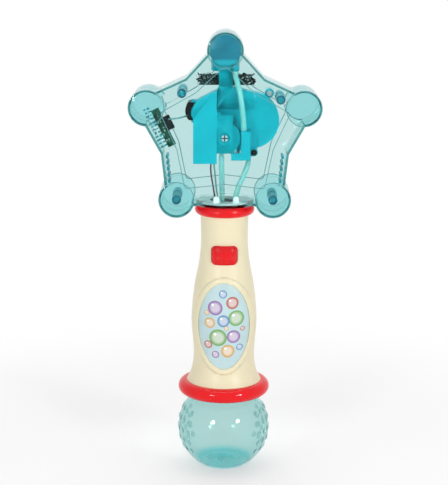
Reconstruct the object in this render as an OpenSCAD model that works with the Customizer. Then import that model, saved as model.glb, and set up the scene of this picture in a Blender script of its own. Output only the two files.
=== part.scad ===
// Battery bubble wand: a clear star head with its pump and blower, a waisted handle and a screw-on reservoir
// Millimetres, +Z up. The reservoir stands on Z = 0, the wand's axis is Z and its front faces -Y

/* [Star head] */
// Height of the star's centre above the base
star_z = 233.5; // [225:0.5:245]
// Radius of the circle through the five lobe centres
lobe_ring_r = 54.5; // [52:0.5:58]
// Radius of each round lobe
lobe_r = 12; // [11.5:0.1:13]
// Half depth of the star's straight side wall
side_half_d = 16.75; // [16:0.25:18]
// Half depth of the flat star panel
panel_half_d = 20; // [19.75:0.25:22]
// Half depth at the crown of a lobe's domed end
lobe_half_d = 21; // [20.75:0.25:23]
// Radius of the star's inward corners
notch_r = 44.5; // [43.5:0.25:46]
// Half width of an arm where it meets its lobe
arm_half_w = 9.2; // [8.8:0.1:10]
// Radius of the inward corners of the flat star panel
panel_notch_r = 33.3; // [32:0.1:35]
// Radius of the points of the flat star panel
panel_tip_r = 44; // [42:0.5:46]
// Wall of the clear shells
shell_wall = 1.6; // [1.4:0.1:2]

/* [Handle] */
// Height of the handle's lower edge
handle_z0 = 60.5; // [60:0.1:61]
// Height of the handle's upper edge
handle_z1 = 176.7; // [175:0.1:178]
// Outer radius at the upper edge
handle_top_r = 16.3; // [16:0.1:17.5]
// Outer radius of the upper waist
handle_waist_r = 15.9; // [15.8:0.1:17]
// Outer radius of the belly
handle_belly_r = 22.4; // [22.2:0.1:24]
// Outer radius of the lower waist
handle_low_r = 20.8; // [20.7:0.1:22]
// Outer radius of the flared lower edge
handle_flare_r = 25.6; // [25:0.1:27]
// Wall of the handle halves
handle_wall = 1.8; // [1.6:0.1:2]

/* [Button and label] */
// Height of the button's centre
button_z = 151; // [150:0.5:152]
// Width of the push button
button_w = 17.5; // [16:0.5:19]
// Height of the push button
button_h = 12.5; // [11:0.5:13.5]
// Travel of the push button
button_travel = 1.5; // [1:0.1:1.6]
// Height of the oval label's centre
label_z = 103; // [101:0.5:105]
// Width of the oval label
label_w = 35; // [30:0.5:35.5]
// Height of the oval label
label_h = 59.5; // [52:0.5:60]
// Width of the raised rim round the label
rim_w = 3.5; // [2:0.25:3.75]
// Height of the rim above the handle
rim_h = 0.9; // [0.6:0.1:1.5]

/* [Collars] */
// Outer radius of the upper collar
upper_collar_r = 20.25; // [20:0.25:22]
// Height of the upper collar
upper_collar_h = 7; // [6.5:0.25:8]
// Outer radius of the lower collar
lower_collar_r = 31.45; // [31.4:0.05:33]
// Height of the lower collar
lower_collar_h = 9.5; // [9.25:0.05:9.75]

/* [Reservoir] */
// Radius of the reservoir's ball
ball_r = 31.3; // [31:0.1:31.4]
// Height of the ball's centre
ball_z = 26.8; // [26.5:0.1:27]
// Wall of the reservoir
ball_wall = 1.6; // [1.4:0.1:2]
// Outer radius of the screw neck
neck_r = 15.9; // [15.5:0.1:16]
// Radius of the dimple in the base
dimple_r = 11.5; // [9:0.5:13]

/* [Drive] */
// Module of the gears
gear_m = 0.6; // [0.57:0.01:0.62]
// Teeth on the motor pinion
pinion_n = 10; // [9:1:11]
// Teeth on the idler's large wheel
idler_big_n = 30; // [28:1:31]
// Teeth on the idler's small wheel
idler_small_n = 12; // [11:1:13]
// Teeth on the pump gear
pump_gear_n = 28; // [27:1:29]
// Radius of the blower's fan
fan_r = 12.5; // [11:0.5:13.5]
// Blades on the fan
fan_blades = 12; // [8:1:16]
// Outer diameter of the soft tubes
tube_d = 3.6; // [3.2:0.1:3.8]
// Outer diameter of a battery cell
cell_d = 14.2; // [13.8:0.1:14.3]
// Length of a battery cell without its nub
cell_l = 49; // [48:0.5:49.5]

/* [Hidden] */
$fn = 64;

clear_blue = [0.55, 0.82, 0.82, 0.45];
teal = [0.0, 0.70, 0.78];
red = [0.92, 0.02, 0.12];
cream = [0.92, 0.88, 0.75];
steel = [0.75, 0.76, 0.78];
tube_white = [0.85, 0.93, 0.92, 0.8];
board_green = [0.05, 0.4, 0.25];

// Gap between pieces that are assembled by hand
fit_gap = 0.2;
// Gap between a bore and the pin that turns in it
run_gap = 0.05;
// Depth by which a cut passes a face
over = 1;

// Extrudes a shape drawn in X and Z from y0 to y1
module along_y(y0, y1) {
    translate([0, y1, 0]) rotate([90, 0, 0]) linear_extrude(y1 - y0) children();
}

// A cylinder along Y at p = [x, z]
module cyl_y(p, r, y0, y1) {
    translate([p[0], y1, p[1]]) rotate([90, 0, 0]) cylinder(r = r, h = y1 - y0);
}

// A box between two corners
module span(a, b) {
    translate(a) cube(b - a);
}

// A closed solid through rings that have equally many points, each seen whole from its middle
function middle(ring) = [for (i = [0 : len(ring) - 1]) 1] * ring / len(ring);
module loft(rings) {
    n = len(rings[0]);
    m = len(rings);
    last = (m - 1) * n;
    pts = concat([for (r = rings) each r], [middle(rings[0]), middle(rings[m - 1])]);
    sides = [for (j = [0 : m - 2], i = [0 : n - 1]) let (k = (i + 1) % n, a = j * n)
        each [[a + i, a + k, a + n + k], [a + i, a + n + k, a + n + i]]];
    ends = [for (i = [0 : n - 1]) let (k = (i + 1) % n)
        each [[k, i, m * n], [last + i, last + k, m * n + 1]]];
    polyhedron(pts, concat(sides, ends), convexity = 8);
}

// A smooth curve through hand-chosen points, with s steps between each two
function catmull(a, b, c, d, t) = 0.5 * (2 * b + (c - a) * t + (2 * a - 5 * b + 4 * c - d) * t * t
    + (3 * b - a - 3 * c + d) * t * t * t);
function smooth(p, s) = let (n = len(p) - 1) concat(
    [for (i = [0 : n - 1], j = [0 : s - 1])
        catmull(p[max(i - 1, 0)], p[i], p[i + 1], p[min(i + 2, n)], j / s)],
    [p[n]]);
function unit(v) = v / norm(v);

// A round tube of diameter d swept along a route, with its own number of sides
module sweep(route, d, sides = 8) {
    n = len(route);
    ref = [0.31, 0.87, 0.12];
    rings = [for (i = [0 : n - 1])
        let (t = unit(route[min(i + 1, n - 1)] - route[max(i - 1, 0)]),
            u = unit(cross(ref, t)), v = cross(t, u))
        [for (k = [0 : sides - 1])
            route[i] + d / 2 * (cos(360 * k / sides) * u + sin(360 * k / sides) * v)]];
    loft(rings);
}

// Points along a coil about Z, from radius r0 at 0 to radius r1 at its length
function coil(r0, r1, length, turns) = [for (i = [0 : 8 * turns])
    let (f = i / (8 * turns), r = r0 + (r1 - r0) * f) [r * cos(45 * i), r * sin(45 * i), length * f]];

// Gear outlines with involute flanks
function inv(rb, r) = r <= rb ? 0 : tan(acos(rb / r)) * 180 / PI - acos(rb / r);
gear_backlash = 0.07;
gear_addendum = 0.65;
gear_dedendum = 1.1;
pressure_angle = 20;
function pitch_r(n) = gear_m * n / 2;
function tip_r(n) = pitch_r(n) + gear_addendum * gear_m;
function root_r(n) = pitch_r(n) - gear_dedendum * gear_m;
function half_tooth(n, r) = 90 / n - gear_backlash / pitch_r(n) * 180 / PI
    + inv(pitch_r(n) * cos(pressure_angle), pitch_r(n)) - inv(pitch_r(n) * cos(pressure_angle), r);
function at_angle(r, a) = r * [cos(a), sin(a)];
function gear_points(n, phase) =
    let (radii = [root_r(n), (root_r(n) + pitch_r(n)) / 2, pitch_r(n), tip_r(n)])
    [for (k = [0 : n - 1]) let (c = phase + 360 * k / n)
        each concat([for (r = radii) at_angle(r, c - half_tooth(n, r))],
            [for (i = [3 : -1 : 0]) at_angle(radii[i], c + half_tooth(n, radii[i]))])];
module gear(p, n, phase, y0, y1) {
    along_y(y0, y1) translate(p) polygon(gear_points(n, phase));
}

// The star's outlines: each arm has two points beside its lobe and one inward corner
function turned(p, a) = [p[0] * cos(a) + p[1] * sin(a), p[1] * cos(a) - p[0] * sin(a)];
function star(notch, tip, half_w) = [for (k = [0 : 4])
    each [turned([-half_w, tip], 72 * k), turned([half_w, tip], 72 * k), turned([0, notch], 72 * k + 36)]];
arm_run = [notch_r * sin(36) - arm_half_w, lobe_ring_r - notch_r * cos(36)];
arm_normal = [arm_run[1], arm_run[0]] / norm(arm_run);
notch_share = sin(36) * arm_normal[0] + cos(36) * arm_normal[1];
function side_star(inset) = star(notch_r - inset / notch_share, lobe_ring_r,
    arm_half_w - inset / arm_normal[0]);
panel_tip_w = 0.9;
function panel_star(inset) = star(panel_notch_r - inset, panel_tip_r - inset, panel_tip_w);
function ring_y(points, y) = [for (p = points) [p[0], y, p[1] + star_z]];
function lobe_at(k) = turned([0, lobe_ring_r], 72 * k) + [0, star_z];
bevel_rise = (panel_half_d - side_half_d) / (notch_r - panel_notch_r);
inner_side_d = side_half_d - shell_wall + shell_wall * bevel_rise;
inner_panel_d = panel_half_d - shell_wall;
inner_lobe_r = lobe_r - shell_wall;
lobe_edge_d = lobe_half_d - 1.6;
lobe_dome_r = (lobe_r * lobe_r + pow(lobe_half_d - lobe_edge_d, 2)) / (2 * (lobe_half_d - lobe_edge_d));
plinth_r = upper_collar_r - 0.85;
collar_z0 = handle_z1;
plinth_z0 = collar_z0 + upper_collar_h;
plinth_z1 = star_z - notch_r + 3;
stub_r = handle_top_r - handle_wall - 0.8;
stub_bore_r = 9.5;
stub_z0 = handle_z1 - 11.2;
groove_z = [stub_z0 + 3.7, stub_z0 + 7.3];
groove_r = stub_r - 1.8;

// The outline of the handle as heights and radii
function handle_curve() = smooth([[handle_z1, handle_top_r], [handle_z1 - 18.7, handle_waist_r],
    [handle_z1 - 33.7, handle_waist_r + 1.5], [handle_z1 - 50.7, handle_belly_r - 1.85],
    [handle_z1 - 73.2, handle_belly_r], [handle_z0 + 20.1, handle_low_r],
    [handle_z0 + 7.9, handle_low_r + 1.4], [handle_z0, handle_flare_r]], 4);
function handle_radius(z) = lookup(z, handle_curve());

// The handle's turned solid, grown outwards by grow
module handle_solid(grow) {
    line = handle_curve();
    n = len(line) - 1;
    axis = [[0, line[n][0]], [0, line[0][0]]];
    rotate_extrude() polygon(concat(axis, [for (p = line) [p[1] + grow, p[0]]]));
}
// A half space in front of or behind the parting plane
module half(front) {
    big = 400;
    translate([-big / 2, front ? -big : 0, -big / 4]) cube([big, big, 2 * big]);
}
// An oval in X and Z
module oval(w, h) {
    scale([w, h]) circle(0.5);
}
// A rectangle with round corners, centred
module round_rect(w, h, r) {
    square([w - 2 * r, h], center = true);
    square([w, h - 2 * r], center = true);
    for (x = [-1, 1], y = [-1, 1]) translate([x * (w / 2 - r), y * (h / 2 - r)]) circle(r);
}

// Places in the head, as [x, z]
pump_p = [-0.3, star_z - 3];
idler_p = pump_p + (pitch_r(pump_gear_n) + pitch_r(idler_small_n)) * [cos(143), sin(143)];
motor_p = idler_p + (pitch_r(idler_big_n) + pitch_r(pinion_n)) * [cos(129.4), sin(129.4)];
fan_p = [17.5, star_z + 7.5];
top_lobe = lobe_at(0);
head_screw_p = [lobe_at(2), lobe_at(3), [-28.5, star_z + 26.5], [36.5, star_z + 22.5]];

// Layers of the drive from front to rear
box_front_y = -inner_panel_d + 0.4;
cover_face_y = box_front_y + 1.4;
cover_wall = 1;
chamber_y = [cover_face_y + cover_wall, cover_face_y + 4.6];
plate_y = [chamber_y[1], chamber_y[1] + 0.8];
gear_a_y = [plate_y[1] + 0.2, plate_y[1] + 1.8];
gear_b_y = [gear_a_y[1] + 0.2, gear_a_y[1] + 1.6];
case_y = [gear_b_y[1] + 0.2, gear_b_y[1] + 1.5];
blower_y = [case_y[1], 0, case_y[1] + 12.3];
blower_wall = 1.2;
scroll_r = fan_r + 6;
motor_can_r = 9;
motor_flat_h = 12;
pump_motor_l = 14.3;
fan_motor_y1 = inner_panel_d - 0.8;

// Pump: the soft tube lies round the chamber, and the rollers run inside it
pump_tube_d = 3;
chamber_r = 8.2;
loop_r = chamber_r - 0.1 - pump_tube_d / 2;
post_r = 1.6;
sleeve_r = 2.6;
roller_r = 1.4;
roller_orbit = loop_r - pump_tube_d / 2 - 0.3 - roller_r;
roller_pin_r = 0.5;
idler_pin_r = 0.9;
motor_shaft_r = 0.75;
fan_shaft_r = 1;
small_screw_r = 0.8;

// Phases at which the teeth mesh
function mesh_phase(n1, phase1, n2, dir) = dir + 180 + 180 / n2 - (phase1 - dir) * n1 / n2;
pump_gear_phase = 0;
idler_small_phase = mesh_phase(pump_gear_n, pump_gear_phase, idler_small_n, 143);
idler_big_phase = 0;
pinion_phase = mesh_phase(idler_big_n, idler_big_phase, pinion_n, 129.4);

// Outlines of the drive's case and of the room inside it
box_x = [-21, -5.4];
box_z = [star_z - 20, star_z + 28.7];
module drive_outline(inset) {
    polygon([[box_x[0] + inset, box_z[0] + inset], [box_x[0] + inset, box_z[1] - 11 - inset / 2],
        [box_x[0] + 3.5 + inset / 2, box_z[1] - 6.2 - inset], [box_x[1] - inset, box_z[1] - inset],
        [box_x[1] - inset, box_z[0] + inset]]);
    translate(pump_p) circle(tip_r(pump_gear_n) + 1.6 - inset);
    translate(idler_p) circle(tip_r(idler_big_n) + 1.6 - inset);
    translate(motor_p) circle(tip_r(pinion_n) + 1.6 - inset);
}
// Outline of the duct that leads from the scroll up to the nozzle
chimney_x = [-4.2, 4.9];
duct_x0 = box_x[1] - 0.6;
chimney_z = star_z + 40.3;
shoulder_z = star_z + 30;
shoulder_t = 1.7;
module duct_outline(inset) {
    top = chimney_z + (inset > 0 ? over : 0);
    polygon([[duct_x0 + inset, fan_p[1] - 1 + inset], [duct_x0 + inset, star_z + 24.5],
        [chimney_x[0] + inset, shoulder_z], [chimney_x[0] + inset, top], [chimney_x[1] - inset, top],
        [chimney_x[1] - inset, shoulder_z - inset],
        [fan_p[0] + 1.5, fan_p[1] + scroll_r - 0.3 - inset], fan_p]);
}
// Outline of the raised field that carries the drive's shoulder line across the duct
module shoulder_outline() {
    x = [box_x[1] + fit_gap, fan_p[0] + 1.5];
    z = fan_p[1] + 8;
    polygon([[x[0], z], [x[0], box_z[1] + 0.1], [chimney_x[0], shoulder_z], [chimney_x[1], shoulder_z],
        [x[1], fan_p[1] + scroll_r - 0.4], [x[1], z]]);
}
// The scroll and duct from y0 to y1
module blower_body(inset, y0, y1) {
    cyl_y(fan_p, scroll_r - inset, y0, y1);
    along_y(y0, y1) duct_outline(inset);
}

// The head's form on one side of the parting plane, inset from its outside: front is true for the front
module shell_form(inset, y0) {
    side_d = side_half_d - inset + inset * bevel_rise;
    loft_half([[-y0, inset], [side_d, inset]], panel_half_d - inset, inset / 4);
    for (k = [0 : 4]) intersection() {
        cyl_y(lobe_at(k), lobe_r - inset, -lobe_half_d, y0);
        lobe_ball(k, lobe_dome_r - inset);
    }
}
// The bare front half: the star, its plinth and its half of the stub, hollowed
module shell_half() {
    difference() {
        union() {
            shell_form(0, 0);
            intersection() {
                union() {
                    translate([0, 0, plinth_z0]) cylinder(r = plinth_r, h = plinth_z1 - plinth_z0);
                    translate([0, 0, stub_z0]) cylinder(r = stub_r, h = plinth_z0 - stub_z0 + over);
                }
                half(true);
            }
        }
        shell_form(shell_wall, over);
        translate([0, 0, plinth_z0 + shell_wall])
            cylinder(r = plinth_r - shell_wall, h = plinth_z1 - plinth_z0);
        translate([0, 0, stub_z0 - over]) cylinder(r = stub_bore_r, h = plinth_z1 - stub_z0);
        translate([0, 0, groove_z[0]]) difference() {
            cylinder(r = stub_r + over, h = groove_z[1] - groove_z[0]);
            translate([0, 0, -over]) cylinder(r = groove_r, h = groove_z[1] - groove_z[0] + 2 * over);
        }
    }
}
// The front half of the star between its parting plane and its panel, with stages of [depth, inset]
module loft_half(stages, panel_d, panel_inset) {
    loft(concat([for (t = stages) ring_y(side_star(t[1]), -t[0])],
        [ring_y(panel_star(panel_inset), -panel_d)]));
}
// The ball whose cap is a lobe's dome
module lobe_ball(k, r) {
    p = lobe_at(k);
    translate([p[0], lobe_dome_r - lobe_half_d, p[1]]) sphere(r = r, $fn = 128);
}

head_boss_r = 3;
head_screw_r = 1.2;
screw_head_r = 2.3;
head_seat_y = 8;
board_p = [-41, star_z + 2.5];
board_l = 27;
board_w = 5.4;
board_t = 1.2;
board_y = -5;
board_tilt = 26;
peg_r = 1.6;

// Clear front half of the star, with screw bosses and two pegs that carry the control board
module head_front_shell() {
    color(clear_blue) difference() {
        union() {
            shell_half();
            intersection() {
                shell_form(shell_wall / 2, 0);
                union() {
                    for (p = head_screw_p) cyl_y(p, head_boss_r, -lobe_half_d, 0);
                    for (e = [-1, 1])
                        cyl_y(board_p + e * (board_l / 2 - 3) * [-sin(board_tilt), cos(board_tilt)], peg_r,
                            -lobe_half_d, board_y - board_t);
                }
            }
        }
        for (p = head_screw_p) cyl_y(p, head_screw_r, -head_seat_y - 3, over);
    }
}

outlet_r = 8.6;
mount_p = [[7, star_z - 15.9], [29.6, star_z + 24.7]];
// Clear rear half, with the bubble outlet, the screw wells and two posts that carry the blower
module head_rear_shell() {
    color(clear_blue) difference() {
        union() {
            mirror([0, 1, 0]) shell_half();
            intersection() {
                mirror([0, 1, 0]) shell_form(shell_wall / 2, 0);
                union() {
                    for (p = head_screw_p) cyl_y(p, screw_head_r + 1.1, 0, lobe_half_d);
                    for (p = mount_p) cyl_y(p, head_boss_r, blower_y[2], lobe_half_d);
                }
            }
        }
        for (p = head_screw_p) {
            cyl_y(p, head_screw_r + 0.15, -over, head_seat_y + over);
            cyl_y(p, screw_head_r + 0.2, head_seat_y, lobe_half_d + over);
        }
        cyl_y(top_lobe, outlet_r, inner_side_d, lobe_half_d + over);
        for (p = mount_p) cyl_y(p, small_screw_r, blower_y[2] - over, blower_y[2] + 6);
    }
}

// Screws that close the head, driven from the rear
module head_screws() {
    color(steel) for (p = head_screw_p) {
        cyl_y(p, head_screw_r, -head_seat_y - 2, head_seat_y + 0.5);
        difference() {
            cyl_y(p, screw_head_r, head_seat_y, head_seat_y + 1.8);
            translate([p[0], head_seat_y + 1.8, p[1]]) cube([3, 1.6, 0.7], center = true);
            translate([p[0], head_seat_y + 1.8, p[1]]) cube([0.7, 1.6, 3], center = true);
        }
    }
}

nozzle_r = inner_lobe_r - 0.3;
nozzle_wall = 1.4;
nozzle_neck_r = 9.35;
spigot_top_z = chimney_z;
spigot_p = [[6.6, -8.8], [3, 10.6]];
mouth_y = inner_side_d + 0.9;
// Teal drum in the top lobe: air comes up its neck and leaves at the open rear, and two bosses take the tubes
module bubble_nozzle() {
    neck_h = top_lobe[1] - chimney_z - 4;
    color(teal) difference() {
        union() {
            intersection() {
                cyl_y(top_lobe, nozzle_r, -lobe_half_d, mouth_y);
                lobe_ball(0, lobe_dome_r - shell_wall - 0.3);
            }
            translate([0, 0, chimney_z]) cylinder(r = nozzle_neck_r, h = neck_h);
            for (p = spigot_p) translate([p[0], p[1], spigot_top_z]) cylinder(r = tube_d / 2 + 0.4, h = 4.5);
        }
        intersection() {
            cyl_y(top_lobe, nozzle_r - nozzle_wall, -lobe_half_d, mouth_y + over);
            lobe_ball(0, lobe_dome_r - shell_wall - 0.3 - nozzle_wall);
        }
        translate([0, 0, chimney_z + nozzle_wall]) cylinder(r = nozzle_neck_r - nozzle_wall, h = neck_h);
        span([chimney_x[0] + blower_wall, blower_y[0] + blower_wall, chimney_z - over],
            [chimney_x[1] - blower_wall, blower_y[2] - blower_wall, chimney_z + 2 * nozzle_wall]);
    }
}

ring_t = 1.2;
ring_teeth = 24;
// Ribbed ring at the outlet that holds the film of solution
module bubble_ring() {
    color(teal) difference() {
        cyl_y(top_lobe, nozzle_r - 0.4, mouth_y, mouth_y + ring_t);
        cyl_y(top_lobe, outlet_r - 1.8, mouth_y - over, mouth_y + ring_t + over);
        for (k = [0 : ring_teeth - 1])
            translate([top_lobe[0], 0, top_lobe[1]]) rotate([0, 360 * k / ring_teeth, 0])
                span([outlet_r - 2.2, mouth_y - over, -0.4], [outlet_r - 0.8, mouth_y + ring_t + over, 0.4]);
    }
}

// Front half of the blower's scroll and of the duct to the nozzle, with the lug that takes the block's screw
module blower_front() {
    lug_y = [blower_y[0], blower_y[0] + block_lug_t];
    color(teal) difference() {
        union() {
            blower_body(0, blower_y[0], blower_y[1]);
            along_y(blower_y[0] - shoulder_t, blower_y[0] + blower_wall) shoulder_outline();
            cyl_y(block_screw_p, block_lug_r, lug_y[0], lug_y[1]);
            along_y(lug_y[0], lug_y[1]) lug_web(block_screw_p);
        }
        blower_body(blower_wall, blower_y[0] + blower_wall, blower_y[1] + over);
        cyl_y(block_screw_p, small_screw_r, lug_y[0] - over, lug_y[1] - blower_wall);
    }
}

inlet_n = 10;
inlet_r = 1.4;
// Rear half of the scroll, with the motor's seat, the ring of air inlets and its mounting lugs
module blower_rear() {
    color(teal) difference() {
        union() {
            blower_body(0, blower_y[1], blower_y[2]);
            for (p = mount_p) {
                cyl_y(p, head_boss_r, blower_y[2] - 2.4, blower_y[2]);
                along_y(blower_y[2] - 2.4, blower_y[2]) lug_web(p);
            }
        }
        blower_body(blower_wall, blower_y[1] - over, blower_y[2] - blower_wall);
        cyl_y(fan_p, 3.1, 0, blower_y[2] + over);
        for (k = [0 : inlet_n - 1])
            cyl_y(fan_p + (motor_can_r + 2.2) * [cos(360 * k / inlet_n), sin(360 * k / inlet_n)], inlet_r,
                0, blower_y[2] + over);
        for (p = mount_p) cyl_y(p, small_screw_r + 0.1, 0, blower_y[2] + over);
    }
}
// The web between a mounting lug and the scroll's rim
module lug_web(p) {
    v = unit(fan_p - p);
    n = [-v[1], v[0]];
    q = fan_p - (scroll_r - blower_wall / 2) * v;
    polygon([p + 2.4 * n, q + 2.4 * n, q - 2.4 * n, p - 2.4 * n]);
}

// Steel can of the fan's motor, behind the scroll
module fan_motor() {
    color(steel) difference() {
        union() {
            cyl_y(fan_p, motor_can_r, blower_y[2], fan_motor_y1);
            cyl_y(fan_p, 3, blower_y[2] - blower_wall, blower_y[2] + over);
        }
        cyl_y(fan_p, fan_shaft_r + run_gap, 0, fan_motor_y1 - 2);
    }
}
fan_y = [blower_y[0] + blower_wall + 0.5, blower_y[2] - blower_wall - 0.6];
// Steel shaft of the fan's motor
module fan_shaft() {
    color(steel) cyl_y(fan_p, fan_shaft_r, fan_y[0] + 0.6, fan_motor_y1 - 2.5);
}
// Centrifugal fan: a hub, a back disc and leaning blades
module fan_wheel() {
    color("white") difference() {
        union() {
            cyl_y(fan_p, fan_shaft_r + 2.2, fan_y[0] + 0.6, fan_y[1]);
            cyl_y(fan_p, fan_r, fan_y[1] - 1, fan_y[1]);
            for (k = [0 : fan_blades - 1])
                translate([fan_p[0], 0, fan_p[1]]) rotate([0, 360 * k / fan_blades, 0])
                    translate([fan_r * 0.52, 0, 0]) rotate([0, -28, 0])
                        span([0, fan_y[0], -0.4], [fan_r * 0.47, fan_y[1] - 0.5, 0.4]);
        }
        cyl_y(fan_p, fan_shaft_r, fan_y[0], fan_y[1] + over);
    }
}

// Rear tray of the drive: a plate with a rim, the post that the pump turns on, and two straps for the motor
module drive_case() {
    color(teal) difference() {
        union() {
            along_y(plate_y[1], case_y[1]) difference() {
                drive_outline(0);
                drive_outline(cover_wall);
            }
            along_y(case_y[0], case_y[1]) drive_outline(0);
            cyl_y(pump_p, post_r + 0.3, gear_b_y[0], case_y[1]);
            cyl_y(pump_p, post_r, chamber_y[0], case_y[1]);
            for (s = [-1, 1]) along_y(case_y[0], case_y[1] + 10)
                translate(motor_p + [0, s * (motor_flat_h / 2 + 0.6)]) square([10, 1.2], center = true);
        }
        cyl_y(pump_p, small_screw_r, chamber_y[0] - over, gear_a_y[0]);
        cyl_y(motor_p, 2.5, case_y[0] - over, case_y[1] + over);
    }
}

feed_x = -2.2;
tower_w = 11.2;
tower_z = [pump_p[1] - 10.2, pump_p[1] + 15];
// Front of the drive: a tall box beside a lower face over the pump, with rings round its screw
module drive_cover() {
    exit_x = pump_p[0] + loop_r;
    color(teal) difference() {
        union() {
            intersection() {
                along_y(box_front_y, plate_y[0]) drive_outline(0);
                span([box_x[0] - over, box_front_y, box_z[0] - over],
                    [box_x[1], plate_y[0], box_z[1] + over]);
            }
            along_y(cover_face_y, plate_y[0]) drive_outline(0);
            along_y(cover_face_y - 0.4, plate_y[0]) translate([pump_p[0], (tower_z[0] + tower_z[1]) / 2])
                square([tower_w, tower_z[1] - tower_z[0]], center = true);
            cyl_y(pump_p, 4.8, cover_face_y - 0.8, cover_face_y);
        }
        along_y(chamber_y[0], plate_y[0] + over) drive_outline(cover_wall);
        intersection() {
            along_y(box_front_y + cover_wall, plate_y[0]) drive_outline(cover_wall);
            span([box_x[0], box_front_y, box_z[0]], [box_x[1] - cover_wall, plate_y[0], box_z[1]]);
        }
        along_y(chamber_y[0], plate_y[0] + over) translate([pump_p[0], (tower_z[0] + tower_z[1]) / 2])
            square([tower_w - 2 * cover_wall, tower_z[1] - tower_z[0] - 2 * cover_wall], center = true);
        cyl_y(pump_p, 3.6, cover_face_y - over, cover_face_y - 0.4);
        cyl_y(pump_p, small_screw_r + 0.1, cover_face_y - over, chamber_y[0] + over);
        for (x = [[feed_x - 1.2, feed_x], [exit_x, exit_x]])
            span([x[0] - pump_tube_d / 2 - 0.2, chamber_y[0], pump_p[1] - 14],
                [x[1] + pump_tube_d / 2 + 0.2, plate_y[0] + over, pump_p[1] - 4]);
    }
}

// Bright cross-head screw in the middle of the pump's cover
module cover_screw() {
    head_y = cover_face_y - 0.4;
    color(steel) {
        cyl_y(pump_p, small_screw_r, head_y - 0.2, gear_a_y[0] - 0.5);
        difference() {
            cyl_y(pump_p, 2.2, head_y - 0.9, head_y);
            translate([pump_p[0], head_y - 0.9, pump_p[1]]) cube([2.8, 1, 0.6], center = true);
            translate([pump_p[0], head_y - 0.9, pump_p[1]]) cube([0.6, 1, 2.8], center = true);
        }
    }
}

// Plate between the gears and the pump, with the wall that backs the soft tube
module pump_plate() {
    color(teal) difference() {
        union() {
            along_y(plate_y[0], plate_y[1]) drive_outline(0);
            difference() {
                cyl_y(pump_p, chamber_r + 0.8, chamber_y[0], plate_y[0]);
                cyl_y(pump_p, chamber_r, chamber_y[0] - over, plate_y[0] + over);
                span([-30, chamber_y[0] - over, pump_p[1] - 30], [30, plate_y[0], pump_p[1]]);
            }
        }
        cyl_y(pump_p, sleeve_r + run_gap, plate_y[0] - over, plate_y[1] + over);
    }
}

// Flat-sided steel can of the pump's motor
module pump_motor() {
    color(steel) difference() {
        union() {
            along_y(case_y[1], case_y[1] + pump_motor_l) translate(motor_p) intersection() {
                circle(motor_can_r);
                square([2 * motor_can_r, motor_flat_h], center = true);
            }
            cyl_y(motor_p, 2.5, case_y[0], case_y[1] + over);
        }
        cyl_y(motor_p, motor_shaft_r + run_gap, case_y[0] - over, case_y[1] + 8);
    }
}
module motor_shaft() {
    color(steel) cyl_y(motor_p, motor_shaft_r, gear_b_y[0] - 0.2, case_y[1] + 7);
}
module motor_pinion() {
    color("white") difference() {
        gear(motor_p, pinion_n, pinion_phase, gear_b_y[0], gear_b_y[1]);
        cyl_y(motor_p, motor_shaft_r, gear_b_y[0] - over, gear_b_y[1] + over);
    }
}
module idler_pin() {
    color(steel) cyl_y(idler_p, idler_pin_r, plate_y[1], case_y[0]);
}
// Double wheel that gears the motor down to the pump
module idler_gear() {
    color("white") difference() {
        union() {
            gear(idler_p, idler_big_n, idler_big_phase, gear_b_y[0], gear_b_y[1]);
            gear(idler_p, idler_small_n, idler_small_phase, gear_a_y[0], gear_b_y[0]);
        }
        cyl_y(idler_p, idler_pin_r + run_gap, gear_a_y[0] - over, gear_b_y[1] + over);
    }
}
module pump_gear() {
    color("white") difference() {
        gear(pump_p, pump_gear_n, pump_gear_phase, gear_a_y[0], gear_a_y[1]);
        cyl_y(pump_p, sleeve_r, gear_a_y[0] - over, gear_a_y[1] + over);
    }
}

rotor_disc_y = [plate_y[0] - 0.75, plate_y[0] - 0.1];
function roller_p(k) = pump_p + roller_orbit * [cos(90 + 120 * k), sin(90 + 120 * k)];
// Rotor of the pump: a sleeve round the post, a disc and three pins
module pump_rotor() {
    color("white") difference() {
        union() {
            cyl_y(pump_p, sleeve_r, rotor_disc_y[0], gear_a_y[1]);
            cyl_y(pump_p, roller_orbit + roller_pin_r + 0.7, rotor_disc_y[0], rotor_disc_y[1]);
            for (k = [0 : 2]) cyl_y(roller_p(k), roller_pin_r, chamber_y[0] + 0.3, rotor_disc_y[1]);
        }
        cyl_y(pump_p, post_r + run_gap, rotor_disc_y[0] - over, gear_a_y[1] + over);
    }
}
module pump_roller(k) {
    color(steel) difference() {
        cyl_y(roller_p(k), roller_r, chamber_y[0] + 0.3, rotor_disc_y[0] - 0.1);
        cyl_y(roller_p(k), roller_pin_r + run_gap, chamber_y[0] - over, rotor_disc_y[0] + over);
    }
}

// Routes of the soft tubes and wires, chosen by hand: [x, y, z]
loop_y = (chamber_y[0] + chamber_y[1]) / 2;
loop_exit = [pump_p[0] + loop_r, loop_y, tower_z[0] - 0.2];
feed_end = [feed_x, loop_y, pump_p[1] - 12];
pump_route = concat([feed_end, [feed_x - 0.3, loop_y, pump_p[1] - 10],
        [feed_x - 1.4, loop_y, pump_p[1] - 7.7]],
    [for (a = [217 : -18.1 : -1]) [pump_p[0] + loop_r * cos(a), loop_y, pump_p[1] + loop_r * sin(a)]],
    [loop_exit + [0, 0, 0.15]]);
// Soft tube that the rollers squeeze
module pump_tube() {
    color(tube_white) sweep(pump_route, pump_tube_d);
}

block_x = [pump_p[0] + tip_r(pump_gear_n) + 2, pump_p[0] + tip_r(pump_gear_n) + 8.4];
block_z = [loop_exit[2] - 4.5, star_z + 1.5];
delivery_x = block_x[0] + 2.4;
block_screw_p = [block_x[1] + 2.4, block_z[0] + 4.5];
block_lug_r = 2.6;
block_lug_t = 3;
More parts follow.
